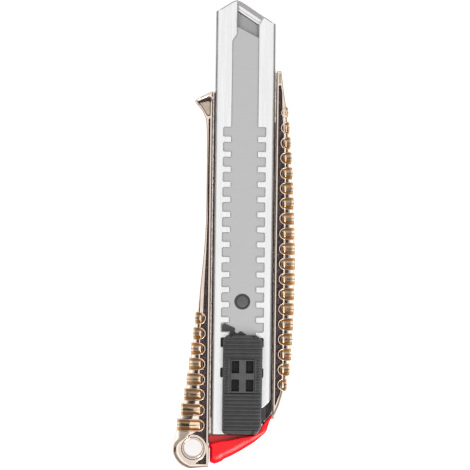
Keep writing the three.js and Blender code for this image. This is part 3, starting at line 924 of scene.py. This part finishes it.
def blade():
    """The blade: ground along its left edge, with pressed snap lines across its face."""
    half = (BLADE_HIGH[0] - BLADE_LOW[0]) / 2
    z0, z1 = BLADE_LOW[2], BLADE_HIGH[2]
    tail = BLADE_LOW[1] - ORIGIN[1]
    tip = BLADE_HIGH[1] - ORIGIN[1]
    ground, groove = 1.3, 0.11
    lines = [("end", tip)]
    for i in range(1, 8):
        y = tip - i * SCORE_PITCH + SLANT
        lines += [("flat", y + groove), ("deep", y), ("flat", y - groove)]
    lines.append(("tail", tail))
    xs = [-half, -half + ground, half]
    shape = Shape()
    rows = []
    for kind, y in lines:
        row = []
        for x, z in ((xs[0], (z0 + z1) / 2), (xs[1], z1), (xs[2], z1), (xs[2], z0), (xs[1], z0)):
            spot_y = y if kind == "tail" else y - (x + half) * SLANT
            low = SCORE_DEPTH if kind == "deep" and z == z1 else 0
            row.append((x, spot_y, z - low))
        first = len(shape.points)
        shape.points += row
        rows.append(range(first, first + len(row)))
    for a, b in zip(rows, rows[1:]):
        shape.band(a, b)
    shape.face(rows[0])
    shape.face(list(rows[-1])[::-1])
    shape.piece("snap_blade", "slider", "blade_steel", ["blade"], [BLADE_STEEL])


def stud():
    low, high = node_box("blade_stud")
    centre = ((low + high) / 2 - ORIGIN)[:2]
    top = high[2]
    rim = [(0, top - 0.9), (2.7, top - 0.9), (2.7, top - 0.12), (2.62, top - 0.03), (2.5, top)]
    rim += [(2.3, top), (2.2, top - 0.05), (2.13, top - 0.2), (0, top - 0.2)]
    disc = [(0, top - 0.3), (2.0, top - 0.3), (2.0, top - 0.14), (1.93, top - 0.06), (1.8, top - 0.03)]
    disc += [(1.0, top - 0.005), (0, top)]
    shape = turned(rim, centre, steps=48).add(turned(disc, centre, steps=48, look=1), look=1)
    shape.piece("stud_cap", "slider", "black_plastic", ["blade_stud"], [BLACK, STUD_GREY])


# ---- slider ---------------------------------------------------------------------------------


RECESS_Y = (14.05, 25.6)


def button_top(y, front, tail):
    """Height of the button's face over its flat, at a height along the knife: ribs at both ends."""
    ribs = 0.0
    for first, last in ((tail + 0.7, 14.0), (25.7, front - 0.5)):
        if first < y < last:
            wave = 0.5 + 0.5 * math.cos(2 * math.pi * (y - first) / 1.27 - 1.9)
            ribs = 0.5 * wave**2.2
    return ribs


COLUMN_WIDTH = 1.7  # width of the ribbed column along each side of the window frame


def column_height(t, level, scale, in_middle):
    """Height of the button's side column, from its outer edge at t = 0 to its inner edge at 1."""
    if in_middle:
        return level - 0.12 * (1 - t) + scale * math.sin(math.pi * t)
    return level - 0.18 * (1 - t) ** 2


def thumb_button():
    """The ribbed thumb slide, lofted along Y, with a recess for the window frame."""
    left, tail = (BUTTON_LOW - ORIGIN)[:2]
    right, front = (BUTTON_HIGH - ORIGIN)[:2]
    bottom, top = BUTTON_LOW[2] + 0.5, BUTTON_HIGH[2]
    face = top - 0.5
    shape = Shape()
    rows = []
    ends = [tail, tail + 0.04, RECESS_Y[0] - 0.02, RECESS_Y[0]]
    ends += [RECESS_Y[1], RECESS_Y[1] + 0.02, front - 0.04, front]
    stations = np.unique(np.concatenate([ends, np.arange(tail + 0.15, front - 0.12, 0.127)]))
    corners = np.array([
        (tail, -0.95, -1.7), (tail + 0.25, -0.5, -1.5), (tail + 0.95, 0, -0.95),
        (tail + 2.3, 0, -0.1), (front - 1.9, 0, 0), (front - 1.3, 0, -0.5),
        (front - 0.35, -1.0, -1.6), (front, -1.6, -2.2),
    ])
    for y in stations:
        x0 = left - np.interp(y, corners[:, 0], corners[:, 1])
        x1 = right + np.interp(y, corners[:, 0], corners[:, 2])
        end = min(y - tail, front - y)
        slope = 0.0 if end > 0.6 else 0.6 * (1 - math.sqrt(max(0, 1 - (1 - end / 0.6) ** 2)))
        z = face - slope + button_top(y, front, tail) * (1 if end > 0.5 else end / 0.5)
        in_middle = 14.05 < y < 25.65
        recess = 1.5 if RECESS_Y[0] <= y <= RECESS_Y[1] else 0
        scale = 0.5 * (0.5 + 0.5 * math.cos(2 * math.pi * y / 0.93)) ** 1.6 if in_middle else 0.0
        section = [(x0, bottom), (x0, face - 1.6), (x0 + 0.06, face - 1.0), (x0 + 0.3, face - 0.45 - slope)]
        level = min(z, face - slope) if in_middle else z
        column = [(t, column_height(t, level, scale, in_middle)) for t in (k / 6 for k in range(7))]
        section += [(x0 + 0.5 + t * COLUMN_WIDTH, h) for t, h in column]
        section += [(-3.99, level), (-3.97, level - recess), (4.37, level - recess), (4.39, level)]
        section += [(x1 - 0.5 - t * COLUMN_WIDTH, h) for t, h in column[::-1]]
        section += [(x1 - 0.3, face - 0.45 - slope), (x1 - 0.06, face - 1.0), (x1, face - 1.6), (x1, bottom)]
        rows.append([(x, y, h) for x, h in section])
    body = loft(rows)
    body.piece("button_body", "button", "black_plastic", ["thumb_button"], [BUTTON_BLACK])
    window_frame(face)


RIB_HALF = 0.12  # half the width of a rib in a window's pocket


def window_frame(face):
    """The flat frame let into the button, with two rows of two windows over pockets whose floors and ribs
    are coloured near-black as painted shade.
    """
    outline = rounded([(-3.85, 14.2, 0.25), (4.25, 14.2, 0.25), (4.25, 25.5, 0.25), (-3.85, 25.5, 0.25)])
    windows = []
    for x0, x1 in ((-3.5, -0.9), (1.4, 4.0)):
        for y0, y1 in ((14.7, 18.75), (20.85, 25.05)):
            window = rounded([(x0, y0, 0.2), (x1, y0, 0.2), (x1, y1, 0.2), (x0, y1, 0.2)])
            windows.append((window, face - 1.2, (0.06, 0.06), 1))
    frame_plate = plate(outline, face - 1.3, face + 0.22, edge=(0.1, 0.1), foot=(0.05, 0.05), holes=windows)
    for x in (-2.6, -1.8, 2.3, 3.1):
        for y0, y1 in ((14.75, 18.7), (20.9, 25.0)):
            left, right = x - RIB_HALF, x + RIB_HALF
            rib = rounded([(left, y0, 0.03), (right, y0, 0.03), (right, y1, 0.03), (left, y1, 0.03)])
            frame_plate.add(plate(rib, face - 1.25, face - 0.6, edge=(0.06, 0.06), look=1), look=1)
    # Look 1, on the pockets' floors and ribs, is painted shade.
    looks = [FRAME_BLACK, PIT_PAINTED_SHADE]
    frame_plate.piece("button_window_frame", "button", "black_plastic", ["button_insert"], looks)


def latch():
    """The hook that drops into the lip's notches, with its arm and nib."""
    outline = rounded(
        [(-4.2, 19.8, 0.6), (-1.6, 19.8, 0.6), (-2.5, 32.2, 0.2), (1.2, 32.2, 0.2), (1.35, 33.9, 0.15)]
        + [(-0.55, 35.05, 0.3), (-1.65, 34.2, 0.1), (-2.5, 34.6, 0.2), (-2.5, 36.05, 0.2)]
        + [(-6.2, 37.6, 0.6), (-6.9, 37.0, 0.6), (-6.85, 34.95, 0.12), (-4.2, 34.95, 0.1)]
    )
    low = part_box("lock_latch")[0].z / MM
    shape = plate(outline, low, low + 0.7, edge=(0.14, 0.14), foot=(0.05, 0.05))
    shape.piece("latch_hook", "latch", "black_plastic", ["lock_latch"], [BLACK])


# ---- end cap --------------------------------------------------------------------------------


def end_cap():
    """The red tail cap: a shelf under the channel's end, a raised face and two bevels along its edge."""
    left, jog = CAP_LOW[0] - ORIGIN[0], -10.5
    top, shelf_z, bottom = CAP_HIGH[2], 9.6, CAP_LOW[2]
    tail = spline([(-9.0, -10.1), (-7.9, -9.8), (-6.2, -9.0)], 0.5)
    tail += [(-5.95, -8.62)]
    tail += spline(
        [(-5.6, -8.4), (-3.35, -7.35), (0.15, -5.4), (4.15, -2.85), (6.65, -0.75), (8.15, 0.6)], 0.6
    )
    tail += spline([(8.75, 1.5), (9.15, 3.0), (9.75, 4.75), (10.38, 5.7)], 0.5)
    inner = [(10.4, 7.0, 0.1), (9.75, 6.0), (8.45, 4.7), (7.15, 3.0), (6.45, 1.4), (5.5, 0.6),
             (4.15, -0.35), (0.15, -1.05), (-3.85, -2.05), (left, -3.15, 0.3)]
    outline = anticlockwise(rounded(
        tail + inner + [(left, -4.5, 0.2), (jog, -4.9, 0.2), (jog, -9.6, 0.5)], longest=1.2))

    def bevel(x, y):
        if x < left + 0.6:
            return 1.0, 1.7
        on_tail = y < -10.0 + 0.62 * (x + 9.3) + 1.2 and y < 5.2
        if on_tail:
            width = float(np.interp(x, [2.0, 7.2, 9.0], [2.5, 1.1, 0.6]))
            return width, width * 0.4
        return 0.25, 0.2

    bevels = np.array([bevel(x, y) for x, y in outline])
    for _ in range(2):
        bevels = (np.roll(bevels, 1, axis=0) + bevels + np.roll(bevels, -1, axis=0)) / 3
    edge = (bevels[:, 0], bevels[:, 1])
    shape = plate(outline, bottom, top, edge=edge, foot=(0.5, 0.5), power=1.35, steps=8)
    shelf = rounded([(left, -0.3, 0.2), (left, -4, 0.1), (-2, -3.4), (5, -1.4), (5.4, 0.5, 0.2),
                     (4.6, -0.3, 0.2)])
    # The shelf takes look 1, painted shade: a darker copy of the cap's red.
    shape.add(plate(shelf, bottom + 0.2, shelf_z, edge=(0.2, 0.2)), look=1)
    plug = rounded([(-4.6, -3, 0.3), (5, -2, 0.3), (5, 4.8, 0.3), (-4.6, 4.8, 0.3)])
    shape.add(plate(plug, 2.3, 7.6))
    tongue_plan = rounded([(-4.6, -2, 0.3), (6, -1, 0.3), (6, 16, 0.6), (-4.6, 16, 0.6)])
    shape.add(plate(tongue_plan, 3.3, 4.7))
    shape.piece("tail_cap", "cap", "red_plastic", ["end_cap"], [RED, RED_SHELF_PAINTED_SHADE])


# ---- CAD nodes that keep their shape --------------------------------------------------------


def dress_cad_nodes():
    """Gives the CAD nodes that are kept as they are a material and softened edges."""
    looks = {
        "channel_rivet_front_left": SPRING_STEEL,
        "channel_rivet_front_right": SPRING_STEEL,
        "channel_rivet_tail": SPRING_STEEL,
        "magazine_tray": BLACK,
        "magazine_spring": SPRING_STEEL,
        "spare_blade_1": BLADE_STEEL,
        "spare_blade_2": BLADE_STEEL,
        "spare_blade_3": BLADE_STEEL,
        "blade_carrier": BLACK,
        "latch_pin": SPRING_STEEL,
        "button_spring": SPRING_STEEL,
    }
    for name, look in looks.items():
        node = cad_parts[name]
        node.data.materials.clear()
        node.data.materials.append(look)
        edge = node.modifiers.new("edges", "BEVEL")
        edge.width = 0.12 * MM
        edge.segments = 2
        edge.limit_method = "ANGLE"
        edge.angle_limit = math.radians(40)
        edge.harden_normals = True


# ---- stage, light and camera ----------------------------------------------------------------

BELT_DARK, BELT_TAIL, BELT_TIP = (0.05, 0.04, 0.035), (0.3, 0.27, 0.25), (0.42, 0.40, 0.385)
HORIZON, HAZE = (0.85, 0.83, 0.81), (0.45, 0.43, 0.41)
SOFTBOX, ZENITH = (1.2, 1.18, 1.16), (0.88, 0.88, 0.88)


def world_light():
    """A studio dome: bright overhead and at the horizon, with a belt between them, dark at the sides."""
    world = bpy.data.worlds.new("studio")
    bpy.context.scene.world = world
    world.use_nodes = True
    nodes, links = world.node_tree.nodes, world.node_tree.links

    def ramp(factor, stops):
        node = nodes.new("ShaderNodeValToRGB")
        elements = node.color_ramp.elements
        while len(elements) < len(stops):
            elements.new(0.5)
        for element, (position, color) in zip(elements, stops):
            element.position = position
            element.color = (*color, 1)
        links.new(factor, node.inputs["Fac"])
        return node.outputs["Color"]

    coordinates = nodes.new("ShaderNodeTexCoord")
    split = nodes.new("ShaderNodeSeparateXYZ")
    links.new(coordinates.outputs["Generated"], split.inputs[0])
    across = nodes.new("ShaderNodeMapRange")
    across.inputs["From Min"].default_value = -1
    links.new(split.outputs["Y"], across.inputs["Value"])
    belt = ramp(across.outputs["Result"], [
        (0.0, BELT_TAIL), (0.41, BELT_TAIL), (0.46, BELT_DARK),
        (0.54, BELT_DARK), (0.60, BELT_TIP), (1.0, BELT_TIP),
    ])
    overhead = ramp(
        split.outputs["Z"], [(0.74, (0, 0, 0)), (0.80, SOFTBOX), (0.97, SOFTBOX), (0.995, ZENITH)]
    )
    horizon = ramp(split.outputs["Z"], [(0.06, HORIZON), (0.2, HAZE), (0.27, HAZE), (0.34, (0, 0, 0))])
    total = belt
    for part in (overhead, horizon):
        lighter = nodes.new("ShaderNodeMix")
        lighter.data_type = "RGBA"
        lighter.blend_type = "LIGHTEN"
        lighter.inputs["Factor"].default_value = 1
        links.new(total, lighter.inputs["A"])
        links.new(part, lighter.inputs["B"])
        total = lighter.outputs["Result"]
    links.new(total, nodes["Background"].inputs["Color"])


def area_light(name, spot, size, power, mirrored, target=(0, 0, 0.01)):
    """A soft light; one that isn't mirrored fills in matt surfaces and leaves no shape in the metal."""
    data = bpy.data.lights.new(name, "AREA")
    data.shape = "RECTANGLE"
    data.size, data.size_y = size
    data.energy = power
    light = bpy.data.objects.new(name, data)
    light.location = spot
    light.rotation_euler = (Vector(target) - Vector(spot)).to_track_quat("-Z", "Y").to_euler()
    light.visible_glossy = mirrored
    bpy.context.scene.collection.objects.link(light)


def stage():
    """The paper floor with the world's light and three area lights."""
    size = 3.0
    mesh = bpy.data.meshes.new("floor")
    z = -0.0004
    corners = [(-size, -size, z), (size, -size, z), (size, size, z), (-size, size, z)]
    mesh.from_pydata(corners, [], [(0, 1, 2, 3)])
    floor = bpy.data.objects.new("floor", mesh)
    look = Look("floor_paper", (0.42, 0.42, 0.42), 0.8, Emission_Color=(1, 1, 1, 1), Emission_Strength=0.78)
    look.tint(look.noise(40), 0.99, 1.01)
    mesh.materials.append(look.material)
    bpy.context.scene.collection.objects.link(floor)
    world_light()
    area_light("key_softbox", (0.5, -0.2, 0.6), (0.5, 0.5), 3.4, False)
    area_light("fill_softbox", (-0.2, 0.5, 0.65), (0.5, 0.5), 1.4, False)
    area_light("rim_lamp", (0.257, -0.446, 0.613), (0.2, 0.2), 1.5, True)


CAMERA_LEAN = 0.0125
FIELD = 0.15925  # width of the view at the height of the handle's face, in metres
VIEW_SHIFT = (-0.00016, -0.00008)  # from the middle of the CAD box to the middle of the view


def camera():
    """Straight above the face, leaning so that the knife's top tips a little to the right."""
    low, high = CAD_BOX
    centre = (low + high) / 2
    data = bpy.data.cameras.new("camera")
    distance = 1.6
    data.sensor_width = 36
    data.lens = data.sensor_width * distance / FIELD
    data.clip_start, data.clip_end = 0.05, 10
    view = bpy.data.objects.new("camera", data)
    view.location = (centre.x + VIEW_SHIFT[0], centre.y + VIEW_SHIFT[1], RIM_Z * MM + distance)
    view.rotation_euler = (0, 0, CAMERA_LEAN)
    bpy.context.scene.collection.objects.link(view)
    bpy.context.scene.camera = view


handle()
channel()
blade()
stud()
thumb_button()
latch()
end_cap()
dress_cad_nodes()
stage()
camera()
bpy.context.scene.view_settings.view_transform = "Standard"
